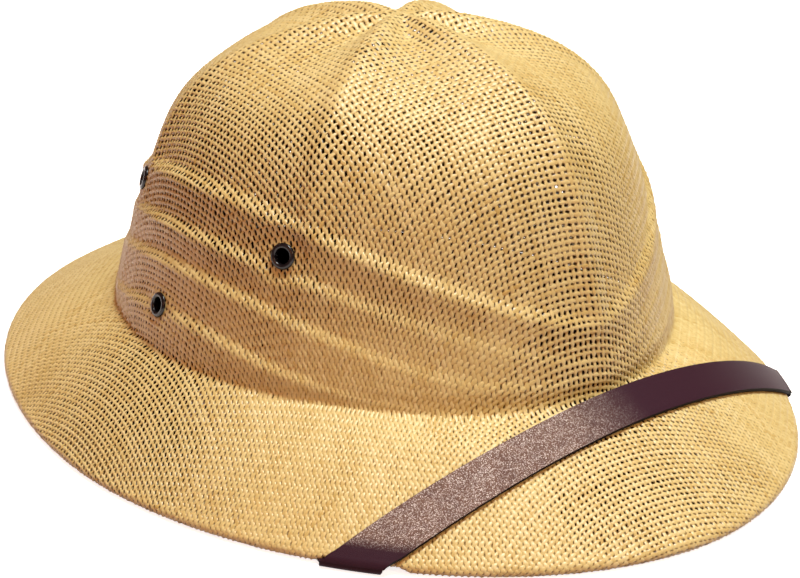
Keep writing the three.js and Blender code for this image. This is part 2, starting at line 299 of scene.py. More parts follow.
def bandRelief(angle, height):
    # each fold steps out at its ledge and slopes back in down to the next ledge
    value = np.zeros(np.broadcast(angle, height).shape)
    above = 0
    for index, fold in enumerate(folds):
        middle = foldHeight(fold, angle)
        half = ledgeHalf(index, angle)
        depth = fold["depth"] * lerp(fold["frontShare"], 1, sideways(angle, fold["fade"]))
        low = 0
        if index + 1 < len(folds):
            low = foldHeight(folds[index + 1], angle) + ledgeHalf(index + 1, angle)
        tail = foldStyle["tail"] * depth
        ledge = lerp(depth, above, smoothStep(height, middle - half, middle + half))
        share = np.clip((height - low) / (middle - half - low), 0, 1)
        slope = lerp(tail, depth, share ** fold["fall"])
        value = np.where(height <= middle + half, np.where(height > middle - half, ledge, slope), value)
        above = tail
    return value


def ribRelief(angle, height):
    turn = 2 * np.pi / ribs["count"]
    offset = angle - turn * np.round(angle / turn)
    radius = crownRadius(angle) * crownTaper(height / hat["crownHeight"])
    bump = np.exp(-(radius * offset / ribs["halfWidth"]) ** 2)
    top = foldHeight(folds[0], angle)
    share = smoothStep(height / hat["crownHeight"], panelSag["fromShare"], panelSag["fullShare"])
    sag = lerp(panelSag["wall"], panelSag["top"], share)
    panel = 0.5 - 0.5 * np.cos(ribs["count"] * angle)
    clear = smoothStep(height, top - ribs["halfWidth"], top + folds[0]["ledge"])
    overBand = lerp(ribs["underBand"], 1, clear)
    return overBand * smoothStep(radius, 0, ribs["startRadius"]) * (ribs["height"] * bump - sag * panel)


def plainRelief(angle, height):
    pinch = foot["pinch"] * (1 - smoothStep(height, 0, foot["reach"]))
    return bandRelief(angle, height) + ribRelief(angle, height) - pinch


def footDip(angle):
    return foot["dip"] * (1 - smoothStep(np.degrees(np.abs(wrapped(angle))), *foot["dipAngles"]))


vents = {}
for side, label in ((-1, "right"), (1, "left")):
    for place, (degrees, height) in ventPlaces.items():
        vents[f"eyelet_{label}_{place}"] = (side * math.radians(degrees), height)


def crownRelief(angle, height):
    # pressed flat round each eyelet
    value = plainRelief(angle, height)
    for ventAngle, ventHeight in vents.values():
        radius = crownRadius(ventAngle) * crownTaper(ventHeight / hat["crownHeight"])
        away = np.hypot(radius * wrapped(angle - ventAngle), height - ventHeight)
        pressed = 1 - smoothStep(away, ventPress["flatRadius"], ventPress["blendRadius"])
        flat = plainRelief(np.array([ventAngle]), np.array([ventHeight]))[0]
        value = lerp(value, flat, pressed)
    return value


def crownNormal(angle, share):
    step = 1e-4
    low = np.minimum(share, 1 - step)
    run = crownRadius(angle) * (crownTaper(low + step) - crownTaper(low))
    rise = hat["crownHeight"] * step
    length = np.hypot(rise, run)
    return rise / length, -run / length


def edgeLift(angle):
    away = np.abs(np.abs(wrapped(angle)) - math.radians(strapNotch["angle"]))
    half, blend = math.radians(strapNotch["half"]), math.radians(strapNotch["blend"])
    return strapNotch["depth"] * (1 - smoothStep(away, half, blend))


def brimSection(angle, share, out=0.0):
    # radius and height on the brim at a share of the way out, lifted off its surface by out
    inside, run = crownRadius(angle), brimRun(angle)
    fall = hat["lipDrop"] - hat["crownBase"]
    length = np.hypot(run, fall)
    upR, upZ = -fall / length, run / length
    lift = 4 * hat["brimBulge"] * share * (1 - share) + out
    return inside + run * share + upR * lift, hat["crownBase"] + fall * share + upZ * lift


def brimMiddle(share):
    return lerp(hat["crownCentreY"], hat["brimCentreY"], share)


def sectionPoint(angle, radius, z, centreY):
    return np.stack([radius * np.sin(angle), centreY - radius * np.cos(angle), z + 0 * radius], axis=-1)


def ventFrame(angle, height):
    # outside point of the crown where an eyelet sits, and its outward direction
    turnStep, riseStep = 0.02, 1.0

    def outside(turned, raised):
        share = raised / hat["crownHeight"]
        normalR, normalZ = crownNormal(turned, share)
        shape = crownRelief(np.array([turned]), np.array([raised]))[0]
        radius = crownRadius(turned) * crownTaper(share) + normalR * shape
        return sectionPoint(turned, radius, hat["crownBase"] + raised + normalZ * shape, hat["crownCentreY"])

    around = outside(angle + turnStep, height) - outside(angle - turnStep, height)
    upward = outside(angle, height + riseStep) - outside(angle, height - riseStep)
    normal = np.cross(around, upward)
    return outside(angle, height), normal / np.linalg.norm(normal)


# Painted shade: a dark sheet hidden under the hat, standing in for the shade inside it, against which the
# holes of the weave show dark

pad = {"points": 256, "inset": 2.0, "shift": (1.0, 1.2), "underLift": 2.6, "height": 0.1, "colour": "0C0A08"}


def makeShadeSheet():
    bpy.ops.object.select_all(action="DESELECT")
    bpy.ops.mesh.primitive_circle_add(vertices=pad["points"], radius=1, fill_type="NGON")
    made = bpy.context.object
    made.name = "pad"
    for vertex in made.data.vertices:
        angle = math.atan2(vertex.co.x, -vertex.co.y)
        radius = brimRadius(angle) - pad["inset"] - pad["underLift"] * edgeLift(angle)
        shift = np.array([*pad["shift"], 0.0])  # away from the camera
        vertex.co = (sectionPoint(angle, radius, pad["height"], hat["brimCentreY"]) + shift) * mm
    shadeSheet, tree = newMaterial("painted shade sheet")
    # matte near-black sheet, painted shade: takes in what light comes through the weave
    shader = addNode(tree, "ShaderNodeBsdfDiffuse", {"Color": linearColour(pad["colour"]), "Roughness": 1.0})
    addNode(tree, "ShaderNodeOutputMaterial", {"Surface": shader.outputs["BSDF"]})
    made.data.materials.append(shadeSheet)


makeShadeSheet()
print("cloth laid")


# Woven straw: one sheet of plain weave pressed over the crown and the brim, its edge turned under

weave = {
    "pitch": 2.22,  # from one strand to the next on the crown, mm
    "brimPitch": 2.0,  # drawn closer on the brim
    "pitchReach": (150.0, 185.0),  # distance from the top where the pitch changes
    "turn": -7.0,  # the sheet lies a little turned on the hat, degrees
    "half": 128,  # strands each side of the middle
    "levels": ((8, 1500), (4, 400), (2, 80), (1, 20)),  # strands per net line, rounds of settling
    "stiffness": 0.4,
    "bend": 0.01,
    "shear": 0.01,
    "lock": 0.75,  # crossings jam when they come this close, as a share of the pitch
    "lockStiffness": 0.25,
    "strandWidth": 2.0,
    "widthSpread": 0.08,
    "neck": (0.72, 0.93),  # share of the width between two crossings, where the weave is open and closed
    "neckSpread": 0.09,
    "packing": (0.93, 1.02),  # widest a strand gets, as a share of the room it has
    "closedWiden": 0.1,  # strands spread where the weave is closed
    "closedRange": (-0.95, 1.2),  # most open, most closed
    "closedEdge": 0.8,  # closed up where the edge turns over
    "edgeBack": (22.0, 16.0),  # from the end of the hem, mm
    "edgeSpace": 1.85,  # room that a strand has there, measured round the bend
    "patchStrands": 5,  # open and close patches, in strands
    "patchSpread": 0.22,
    "patchAcross": 0.3,  # strength of the patches drawn out across the strands
    "strandThickness": 0.42,
    "ridge": (0.45, 0.55),  # thickness below and above the middle of the strand
    "mostSqueeze": 1.7,
    "crimp": 0.23,  # how far a strand rises and dips at a crossing
    "crimpSpread": 0.2,
    "wander": 0.11,  # sideways, mm
    "wanderReach": 14,  # in half steps from crossing to crossing
    "toneSpread": 0.055,
    "toneDrift": 0.6,  # along a strand, as a share of the spread
    "toneReach": 5,
    "patternStart": 400,  # each strand starts somewhere else in the fibre pattern, mm
    "gapShadeDepth": (0.6, 1.0),  # painted shade along a strand's edges, at a crossing and between two
    "seed": 7,
    "ventClear": 3.35,
    "sheetDrop": 0.5,  # middle of the sheet below the hat's outside
    "columns": 720,
    "step": 0.4,
    "crownRows": 420,
    "crownBunch": 2.2,  # rows drawn together towards the top
    "netRows": 300,
    "netReach": 6,  # in widths of the brim
    "brimRows": 91,
    "brimEnd": 1.4,  # short of where the edge turns, mm
    "filletReach": 1.1,  # soft corner at the foot of the crown
    "filletHalf": 1.76,
    "rollReach": 2.6,  # the edge rolls over softly
    "rollBack": 14.2,  # from the end of the hem
    "rollHalf": 3.2,
    "hemReach": 0.8,  # and so does the hem
    "hemBack": (19, 15),
    "edgeBottom": 0.62,
    # the edge in section: in from the rim, height above its bottom, least height
    "edgeSection": [
        (1.75, 0, 3.85), (0.95, 0.5, 3.4), (0.6, 0.3, 2.6), (0.6, 0.25, 0), (0.95, 0.05, 0), (1.6, 0, 0),
        (2.3, 0.25, 0),
    ],
    "hem": (4.0, 9.5),  # where it starts and ends, in from the rim
    "hemDrop": 1.35,
}
# where the weave is closed up, or opened if below 0: by how much, how far down from the top in mm, at which
# angle, how far to both sides of it in degrees; each reach starts, is full, starts to fade and has ended
fromStart, toEnd = (-2, -1), (998, 999)
zones = [
    (0.7, (*fromStart, 50, 80), 0, (*fromStart, *toEnd)),  # top of the crown
    (1.2, (*fromStart, *toEnd), 138, (*fromStart, 60, 97)),  # round the back
    (0.12, (60, 85, 160, 168), 0, (*fromStart, 18, 42)),  # down the front
    (0.55, (118, 136, 160, 168), 0, (62, 84, *toEnd)),  # foot of the sides
    (-0.75, (60, 80, 118, 136), 0, (46, 66, *toEnd)),  # higher up on the sides
    (0.95, (136, 150, *toEnd), 0, (8, 26, 56, 72)),  # where the brim is stretched on the bias
    (-0.95, (160, 168, *toEnd), 0, (66, 86, 94, 114)),  # sides of the brim
]


def meridians(stations, arcs, step):
    # resamples every section at even steps along its own length
    reach = np.arange(0, arcs[-1].max(), step)
    table = [[np.interp(reach, arcs[:, k], part[:, k]) for k in range(arcs.shape[1])] for part in stations]
    return [np.array(part).T for part in table]


def arcLength(radius, z):
    lengths = np.hypot(np.diff(radius, axis=0), np.diff(z, axis=0))
    return np.vstack([np.zeros((1, radius.shape[1])), np.cumsum(lengths, axis=0)])


def crownSamples(angles):
    share = 1 - np.linspace(0, 1, weave["crownRows"])[:, None] ** weave["crownBunch"]
    radius = crownRadius(angles) * crownTaper(share)
    return share, radius, hat["crownBase"] + hat["crownHeight"] * share + 0 * radius


def netSurface(angles):
    # plain crown, and a brim that runs on past its edge, for settling the net of strands
    share, radius, z = crownSamples(angles)
    out = np.linspace(0, weave["netReach"], weave["netRows"])[1:, None]
    run = brimRun(angles)
    radius = np.vstack([radius, crownRadius(angles) + run * out])
    z = np.vstack([z, hat["crownBase"] + (hat["lipDrop"] - hat["crownBase"]) * out + 0 * run])
    centre = np.vstack([0 * share + hat["crownCentreY"], brimMiddle(np.minimum(out, 1))]) + 0 * radius
    radius, z, centre = meridians((radius, z, centre), arcLength(radius, z), weave["step"])
    return sectionPoint(angles, radius, z, centre)


def blurDown(values, reach):
    # rounds off a section with a bell-shaped average along it
    steps = max(int(2 * reach / weave["step"]), 1)
    offsets = np.arange(-steps, steps + 1)
    weights = np.exp(-2 * (offsets * weave["step"] / reach) ** 2)
    padded = np.pad(values, ((steps, steps), (0, 0)), mode="edge")
    total = sum(w * padded[steps + k:steps + k + values.shape[0]] for k, w in zip(offsets, weights))
    return total / weights.sum()


def strawSurface(angles):
    # the pressed sheet itself: ribs, folds, soft corner, rolled edge and hem; also where each section ends
    share, radius, z = crownSamples(angles)
    drop = weave["sheetDrop"]
    normalR, normalZ = crownNormal(angles, share)
    shape = crownRelief(angles + 0 * share, hat["crownHeight"] * share + 0 * angles) - drop
    shownR, shownZ = np.maximum(radius + normalR * shape, 0), z + normalZ * shape
    dip = footDip(angles)
    shownZ = shownZ - dip * (1 - smoothStep(hat["crownHeight"] * share, 0, foldHeight(folds[0], angles)))
    rim, span = brimRadius(angles), brimRun(angles)
    out = np.linspace(0, 1, weave["brimRows"])[1:, None] * (1 - weave["brimEnd"] / span)
    brimR, brimZ = brimSection(angles, out)
    brimShownR, brimShownZ = brimSection(angles, out, -drop)
    brimShownZ = brimShownZ - dip * (1 - smoothStep(out, 0, foot["dipShare"]))
    bottom = edgeLift(angles) + weave["edgeBottom"]
    edge = []
    for inward, above, least in weave["edgeSection"]:
        edge.append((rim - inward, np.maximum(least, bottom + above)))
    for inward in weave["hem"]:
        hemShare = 1 - (inward - hat["lipCorner"]) / span
        edge.append(brimSection(angles, hemShare, -drop - weave["hemDrop"]))
    edgeR, edgeZ = np.array(edge).swapaxes(0, 1)
    arcs = arcLength(np.vstack([radius, brimR, edgeR]), np.vstack([z, brimZ, edgeZ]))
    centre = np.vstack([
        0 * radius + hat["crownCentreY"],
        brimMiddle(out) + 0 * brimR,
        0 * edgeR + hat["brimCentreY"],
    ])
    stations = np.vstack([shownR, brimShownR, edgeR]), np.vstack([shownZ, brimShownZ, edgeZ]), centre
    radius, z, centre = meridians(stations, arcs, weave["step"])
    corner, end = arcs[share.shape[0] - 1], arcs[-1]
    reach = np.arange(radius.shape[0])[:, None] * weave["step"]
    hemStart, hemFull = (end - back for back in weave["hemBack"])
    softened = [
        (weave["filletReach"], np.exp(-((reach - corner) / weave["filletHalf"]) ** 4)),
        (weave["rollReach"], np.exp(-((reach - end + weave["rollBack"]) / weave["rollHalf"]) ** 4)),
        (weave["hemReach"], smoothStep(reach, hemStart, hemFull)),
    ]
    for value in (radius, z):
        for blur, amount in softened:
            value[:] = lerp(value, blurDown(value, blur), amount)
    return sectionPoint(angles, radius, z, centre), end


def outwardDirections(points):
    along = np.gradient(points, axis=0)
    around = np.gradient(np.concatenate([points[:, -3:-1], points, points[:, 1:3]], axis=1), axis=1)[:, 2:-2]
    normal = np.cross(along, around)
    length = np.linalg.norm(normal, axis=-1, keepdims=True)
    normal = normal / np.maximum(length, 1e-9)
    normal[:2] = (0, 0, 1)
    return normal


def lookUp(table, place):
    # place is on the unrolled sheet: distance from the top along a section, in that section's direction
    rows, columns = table.shape[0], table.shape[1] - 1
    down = np.hypot(place[..., 0], place[..., 1]) / weave["step"]
    turn = np.arctan2(place[..., 0], -place[..., 1]) % (2 * np.pi) / (2 * np.pi) * columns
    row = np.minimum(down.astype(int), rows - 2)
    column = np.minimum(turn.astype(int), columns - 1)
    shape = down.shape + (1,) * (table.ndim - 2)
    downShare = np.minimum(down - row, 1).reshape(shape)
    turnShare = (turn - column).reshape(shape)
    near = lerp(table[row, column], table[row + 1, column], downShare)
    far = lerp(table[row, column + 1], table[row + 1, column + 1], downShare)
    return lerp(near, far, turnShare)


def pull(points, move, first, second, rest, strength, onlyShort=False):
    between = points[second] - points[first]
    length = np.linalg.norm(between, axis=-1, keepdims=True) + 1e-9
    excess = np.minimum(length - rest, 0) if onlyShort else length - rest
    change = 0.5 * strength * excess / length * between
    move[first] += change
    move[second] -= change


def settleNet(surface, place, strands, rounds):
    # strands keep their length, resist kinks and turn against each other, as cloth does over a block
    every, probe = 8, 0.6
    start, end, whole = slice(None, -1), slice(1, None), slice(None)
    middle = place.shape[0] // 2
    for turn in range(rounds):
        if turn % every == 0:
            slopeX = (lookUp(surface, place + [probe, 0]) - lookUp(surface, place - [probe, 0])) / (2 * probe)
            slopeY = (lookUp(surface, place + [0, probe]) - lookUp(surface, place - [0, probe])) / (2 * probe)
            xx, yy, xy = (slopeX ** 2).sum(-1), (slopeY ** 2).sum(-1), (slopeX * slopeY).sum(-1)
            area = xx * yy - xy ** 2 + 1e-9
            share = smoothStep(np.hypot(place[..., :1], place[..., 1:]), *weave["pitchReach"])
            pitch = lerp(weave["pitch"], weave["brimPitch"], share) * strands
        points = lookUp(surface, place)
        move = np.zeros_like(points)
        for first, second in (((start, whole), (end, whole)), ((whole, start), (whole, end))):
            pull(points, move, first, second, (pitch[first] + pitch[second]) / 2, weave["stiffness"])
        for first, second in (((start, start), (end, end)), ((start, end), (end, start))):
            apart = (pitch[first] + pitch[second]) / 2
            pull(points, move, first, second, math.sqrt(2) * apart, weave["shear"])
            pull(points, move, first, second, weave["lock"] * apart, weave["lockStiffness"], True)
        for axis in (0, 1):
            line, push = np.moveaxis(points, axis, 0), np.moveaxis(move, axis, 0)
            kink = weave["bend"] * (line[:-2] - 2 * line[1:-1] + line[2:])
            push[:-2] -= kink
            push[1:-1] += 2 * kink
            push[2:] -= kink
        alongX, alongY = (move * slopeX).sum(-1), (move * slopeY).sum(-1)
        change = np.stack([yy * alongX - xy * alongY, xx * alongY - xy * alongX], axis=-1)
        place = place + change / area[..., None]
        place[middle, middle] = 0
    return place


def halfSteps(place):
    # adds a smooth point between each two along the first axis
    made = np.zeros((2 * place.shape[0] - 1,) + place.shape[1:])
    made[::2] = place
    padded = np.concatenate([2 * place[:1] - place[1:2], place, 2 * place[-1:] - place[-2:-1]])
    made[1::2] = (9 * (padded[1:-2] + padded[2:-1]) - padded[:-3] - padded[3:]) / 16
    return made


def layNet(surface):
    place = None
    turn = math.radians(weave["turn"])
    for strands, rounds in weave["levels"]:
        if place is None:
            count = weave["half"] // strands
            line = np.arange(-count, count + 1) * weave["pitch"] * strands
            x, y = np.meshgrid(line, line, indexing="ij")
            turnedX = x * math.cos(turn) - y * math.sin(turn)
            turnedY = x * math.sin(turn) + y * math.cos(turn)
            place = np.stack([turnedX, turnedY], axis=-1)
        else:
            place = halfSteps(halfSteps(place).swapaxes(0, 1)).swapaxes(0, 1)
        place = settleNet(surface, place, strands, rounds)
    return place


def smear(values, reach):
    # bell-shaped average along the first axis that keeps the strength of noise
    kernel = np.exp(-2 * (np.arange(-3 * reach, 3 * reach + 1) / reach) ** 2)
    kernel /= np.sqrt((kernel ** 2).sum())
    return np.apply_along_axis(lambda line: np.convolve(line, kernel, mode="same"), 0, values)


def slowNoise(dice, shape, reach):
    # wanders slowly along the first axis
    return smear(dice.normal(size=shape), reach)


def patchNoise(dice, shape, reach):
    # soft patches over the sheet: along the strand in half steps, across it from strand to strand
    soft = slowNoise(dice, shape, reach)
    drawnOut = slowNoise(dice, shape[::-1], reach // 2).T
    return weave["patchAcross"] * drawnOut + smear(soft.T, reach // 2).T


def window(value, start, full, fade, end):
    return smoothStep(value, start, full) * (1 - smoothStep(value, fade, end))


def closeness(place):
    # how far the weave is closed up: 0 is open, 1 closed, and a zone may go past both
    down = np.hypot(place[..., 0], place[..., 1])
    facing = np.arctan2(place[..., 0], -place[..., 1])
    total = 0
    for amount, reach, middle, sides in zones:
        away = np.degrees(np.abs(wrapped(facing - math.radians(middle))))
        total = total + amount * window(down, *reach) * window(away, *sides)
    return total


def strandRings(place, family, surface, normals, ends, dice):
    # place holds the strand's points along the first axis and its neighbours along the second
    rings = halfSteps(place)
    shape = count, strands = rings.shape[:2]
    beside = np.gradient(lookUp(surface, rings), axis=1)
    sway = slowNoise(dice, shape, weave["wanderReach"]) * weave["wander"]
    rings = rings + np.gradient(rings, axis=1) / weave["pitch"] * sway[..., None]
    centre = lookUp(surface, rings)
    normal = lookUp(normals, rings)
    normal /= np.linalg.norm(normal, axis=-1, keepdims=True)
    across, along = np.arange(strands)[None, :], np.arange(count)[:, None]
    crossing = along % 2 == 0
    over = np.where((along // 2 + across + family) % 2 == 0, 1.0, -1.0)
    crimp = weave["crimp"] * (1 + weave["crimpSpread"] * dice.normal(size=shape))
    centre = centre + normal * (np.where(crossing, over, 0.0) * crimp)[..., None]
    forward = np.gradient(centre, axis=0)
    forward /= np.linalg.norm(forward, axis=-1, keepdims=True) + 1e-9
    right = np.cross(forward, normal)
    right /= np.linalg.norm(right, axis=-1, keepdims=True) + 1e-9
    up = np.cross(right, forward)
    down = np.hypot(rings[..., 0], rings[..., 1])
    # where the section in each ring's direction ends
    last = lookUp(np.repeat(ends[None, :], 2, axis=0), rings / (down[..., None] + 1e-9) * 1e-6)
    edge = smoothStep(down - last, *(-back for back in weave["edgeBack"]))
    space = np.maximum(np.abs((beside * right).sum(-1)), edge * weave["edgeSpace"])
    width = weave["strandWidth"] * (1 + weave["widthSpread"] * dice.normal(size=(1, strands)))
    patches = weave["patchSpread"] * patchNoise(dice, shape, 2 * weave["patchStrands"])
    closed = np.clip(closeness(rings) + patches + weave["closedEdge"] * edge, *weave["closedRange"])
    neck = weave["neckSpread"] * dice.normal(size=shape)
    neck = np.minimum(neck + lerp(*weave["neck"], closed), 1.0)
    width = width * (1 + weave["closedWiden"] * np.maximum(closed, 0))
    full = np.minimum(width, lerp(*weave["packing"], closed) * space)
    # a strand that is squeezed gets thicker
    squeeze = np.clip(weave["strandWidth"] / full, 1, weave["mostSqueeze"])
    below, above = (up * (weave["strandThickness"] * squeeze * part)[..., None] for part in weave["ridge"])
    width = full * np.where(crossing, 1.0, neck)
    toSide = right * width[..., None] / 2
    section = [centre - below - toSide, centre + above, centre - below + toSide]
    tone = dice.normal(size=(1, strands)) + weave["toneDrift"] * slowNoise(dice, shape, weave["toneReach"])
    length = along * weave["pitch"] / 2 + dice.uniform(0, weave["patternStart"], size=(1, strands))
    kept = down < last
    for ventAngle, ventHeight in vents.values():
        point, _ = ventFrame(ventAngle, ventHeight)
        kept &= np.linalg.norm(centre - point, axis=-1) > weave["ventClear"]
    return np.stack(section, axis=2), weave["toneSpread"] * tone, length, width, kept


def addAttribute(mesh, name, values, kind="FLOAT"):
    made = mesh.attributes.new(name, kind, "POINT")
    made.data.foreach_set("value" if kind == "FLOAT" else "vector", values.astype(np.float32).ravel())


def besideKept(kept):
    # whether the ring before each ring is kept, and the ring after it
    none = np.zeros((1, kept.shape[1]), bool)
    return np.vstack([none, kept[:-1]]), np.vstack([kept[1:], none])


def strandMesh(name, section, tone, length, width, kept):
    # joins the kept rings of many strands into one mesh of closed three-sided straws
    before, after = besideKept(kept)
    kept = kept & (before | after)
    before, after = besideKept(kept)
    number = (np.cumsum(kept.ravel()) - 1).reshape(kept.shape) * 3
    here = number[:-1][kept[:-1] & kept[1:]]
    there = number[1:][kept[:-1] & kept[1:]]
    corners = (0, 1), (1, 2), (2, 0)
    quads = np.concatenate([np.stack([here + a, here + b, there + b, there + a], axis=1) for a, b in corners])
    first, last = number[kept & ~before], number[kept & ~after]
    caps = np.concatenate([
        np.stack([first + 2, first + 1, first], axis=1),
        np.stack([last, last + 1, last + 2], axis=1),
    ])
    mesh = bpy.data.meshes.new(name)
    mesh.from_pydata(section[kept].reshape(-1, 3) * mm, [], quads.tolist() + caps.tolist())
    mesh.polygons.foreach_set("use_smooth", np.arange(len(mesh.polygons)) < len(quads))
    # along the strand and across it in millimetres, and the strand's own tone
    detail = np.zeros(kept.shape + (3, 3))
    detail[..., 0] = length[..., None]
    detail[..., 1] = width[..., None] / 2 * np.array([-1, 0, 1])
    detail[..., 2] = tone[..., None]
    addAttribute(mesh, "strand", detail[kept], "FLOAT_VECTOR")
    # how deep in the gaps of the weave, for the painted shade there: along the edges, most of all between two
    # crossings
    depth = np.zeros(kept.shape + (3,))
    for start, value in enumerate(weave["gapShadeDepth"]):
        depth[start::2, :, [0, 2]] = value
    addAttribute(mesh, "gapShade", depth[kept])
    # both edges of each strand are sharp, so its top shades as a flat ribbon
    pairs = np.zeros(2 * len(mesh.edges), np.int32)
    mesh.edges.foreach_get("vertices", pairs)
    sides = pairs.reshape(-1, 2) % 3
    mesh.edges.foreach_set("use_edge_sharp", (sides[:, 0] == sides[:, 1]) & (sides[:, 0] != 1))
    made = bpy.data.objects.new(name, mesh)
    bpy.context.collection.objects.link(made)
    print(" ", name, 2 * len(quads) + len(caps), "triangles")
    return made


def makeWeave():
    angles = np.linspace(0, 2 * np.pi, weave["columns"] + 1)
    net = layNet(netSurface(angles))
    print("net of strands settled:", net.shape[0], "by", net.shape[1])
    surface, ends = strawSurface(angles)
    normals = outwardDirections(surface)
    dice = np.random.default_rng(weave["seed"])
    families = ("weft", ("front", "middle", "rear")), ("warp", ("right", "middle", "left"))
    made = []
    for family, (kind, places) in enumerate(families):
        grid = net if kind == "weft" else net.swapaxes(0, 1)
        parts = strandRings(grid, family, surface, normals, ends, dice)
        kept = parts[-1]
        share = np.cumsum(kept.sum(axis=0)) / kept.sum()
        for third, place in enumerate(places):
            chosen = (share > third / 3) & (share <= (third + 1) / 3) & kept.any(axis=0)
            made.append(strandMesh(f"straw_{kind}_{place}", *(part[:, chosen] for part in parts)))
    return made


straw = {
    "colours": ("C2A55A", "DCCD90", "EBDEAE"),
    "stops": (0.0, 0.32, 0.7),
    # painted shade in the gaps of the weave: its colour, and the depth where it starts
    "gapShadeColour": "4E3016",
    "gapShadeFrom": 0.42,
    "roughness": 0.32,
    "refraction": 1.5,
    "gloss": 0.36,
    "fibreLength": 7.0,  # mm
    "fibreWidth": 0.22,
    "fibreShift": 40.0,  # strands of another tone have other fibres
    "fibreTone": 0.34,
    "fibreBump": (0.25, 0.1),  # strength, and depth in mm
    "patchSize": 24.0,
    "patchTone": 0.22,
}


def strawMaterial():
    made, tree = newMaterial("woven paper straw")
    # twisted paper straw, lightly lacquered: silky strands whose tone changes from strand to strand
    strand = addNode(tree, "ShaderNodeAttribute", attribute_name="strand")
    parts = addNode(tree, "ShaderNodeSeparateXYZ", {"Vector": strand.outputs["Vector"]})
    stretch = addNode(tree, "ShaderNodeVectorMath", {
        "Vector": strand.outputs["Vector"],
        1: (1 / straw["fibreLength"], 1 / straw["fibreWidth"], straw["fibreShift"]),
    }, operation="MULTIPLY")
    fibre = addNode(tree, "ShaderNodeTexNoise", {
        "Vector": stretch.outputs["Vector"], "Scale": 1.0, "Detail": 2.0})
    shade = addMath(tree, "MULTIPLY_ADD", fibre.outputs["Fac"], straw["fibreTone"], parts.outputs["Z"])
    shade = addMath(tree, "MULTIPLY_ADD", addNoise(tree, straw["patchSize"]), straw["patchTone"], shade)
    ramp = addNode(tree, "ShaderNodeValToRGB", {"Fac": shade})
    stops = ramp.color_ramp.elements
    stops.new(straw["stops"][1])
    for stop, position, colour in zip(stops, straw["stops"], straw["colours"]):
        stop.position, stop.color = position, linearColour(colour)
    # painted shade: strands darken to brown along their edges, where they go down into the gaps of the weave
    gapShade = addNode(tree, "ShaderNodeAttribute", attribute_name="gapShade")
    gapShadeShare = mapRange(tree, gapShade.outputs["Fac"], straw["gapShadeFrom"], 1.0, interpolation_type="SMOOTHSTEP")
    finishMaterial(tree, {
        "Base Color": mixColours(tree, gapShadeShare, ramp.outputs["Color"], linearColour(straw["gapShadeColour"])),
        "Roughness": straw["roughness"],
        "IOR": straw["refraction"],
        "Specular IOR Level": straw["gloss"],
        "Normal": addBump(tree, fibre.outputs["Fac"], *straw["fibreBump"]),
    })
    return made


strawPieces = makeWeave()
strawFinish = strawMaterial()
for piece in strawPieces:
    piece.data.materials.append(strawFinish)
    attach(piece, "root")
    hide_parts("shell")
print("straw woven:", len(strawPieces), "pieces")


# Chin strap: a flat band of leatherette over the front brim, round both edges and riveted under the brim

strap = {
    "thickness": 1.5,
    "halfWidth": 6.2,  # seen from above; along the slope it is wider
    "endHalf": 7.1,  # the same along the slope, where it lies flat under the brim
    "flare": 0.09,  # its right end is a little wider
    "flareReach": (40.0, 105.0),
    "centreY": -123.6,
    "bow": 0.00128,
    "clear": 0.15,  # above the straw
    "overSteps": 90,
    "acrossSteps": 8,
    "underSteps": 10,
    "edgeSearch": (60.0, 140.0),  # where it meets the edge, mm from the middle
    "searchRounds": 40,
    "lastOver": 0.985,  # share of the brim where it starts to bend over the edge
    "bendRadius": 1.9,
    "bendOut": 0.25,  # past the rim
    "under": 1.65,  # height of its inner face under the edge
    "underRadius": 0.6,
    "bendSteps": 8,
    "flatAngle": 71,
    "postAngle": 75.5,
    "endAngle": 79,
    "endShare": 0.22,
    "strawBack": 1.15,  # inside of the straw below the hat's outside
    "edgeRound": 0.3,
    "sharpFrom": 60,  # edges that are rounded, degrees
    "smooth": 40,
    "colour": "38222F",
    # painted highlight with painted glints over the middle of the strap
    "highlightColour": "745E55",
    "glintColour": "FFFFFF",
    "highlightEdge": (0.885, 0.985),  # share of the brim where the painted highlight ends at the right edge
    "highlightTo": (-36, 6),  # and where it fades out at the left, mm
    "cloudSize": 5.0,  # mm
    "cloudRange": (-0.4, 0.6),
    "grainSize": 0.21,  # finer in life, drawn just coarse enough to show
    "grainBump": (0.6, 0.12),  # strength, and depth in mm
    "glintFrom": 0.715,  # grains above this chance get a painted glint
    "roughness": 0.42,
    "gloss": 0.05,
    # painted shade of the band's sides and rounded edges
    "edgeShadeColour": "0B080A",
    "edgeRoughness": 0.7,
    "edgeGloss": 0.1,
    "fuzzSize": 0.6,
    "fuzzBump": (0.4, 0.1),
}


def brimPoint(angle, share, out=0.0):
    radius, z = brimSection(angle, share, out)
    return sectionPoint(angle, radius, z, brimMiddle(share))


def brimNormal(angle, share):
    step = 0.01
    around = brimPoint(angle + step, share) - brimPoint(angle - step, share)
    outward = brimPoint(angle, share + step) - brimPoint(angle, share - step)
    normal = np.cross(outward, around)
    return normal / np.linalg.norm(normal, axis=-1, keepdims=True)


def brimPlace(x, y):
    # angle and share of the way out for a point seen from above
    rounds = 8
    share = 0.5 + 0 * x
    for turn in range(rounds):
        middle = brimMiddle(share)
        angle = np.arctan2(x, middle - y)
        share = (np.hypot(x, y - middle) - crownRadius(angle)) / brimRun(angle)
    return angle, share


def strapLine(x, across):
    half = strap["halfWidth"] * (1 + strap["flare"] * smoothStep(-x, *strap["flareReach"]))
    return strap["centreY"] + across * half + strap["bow"] * x * x


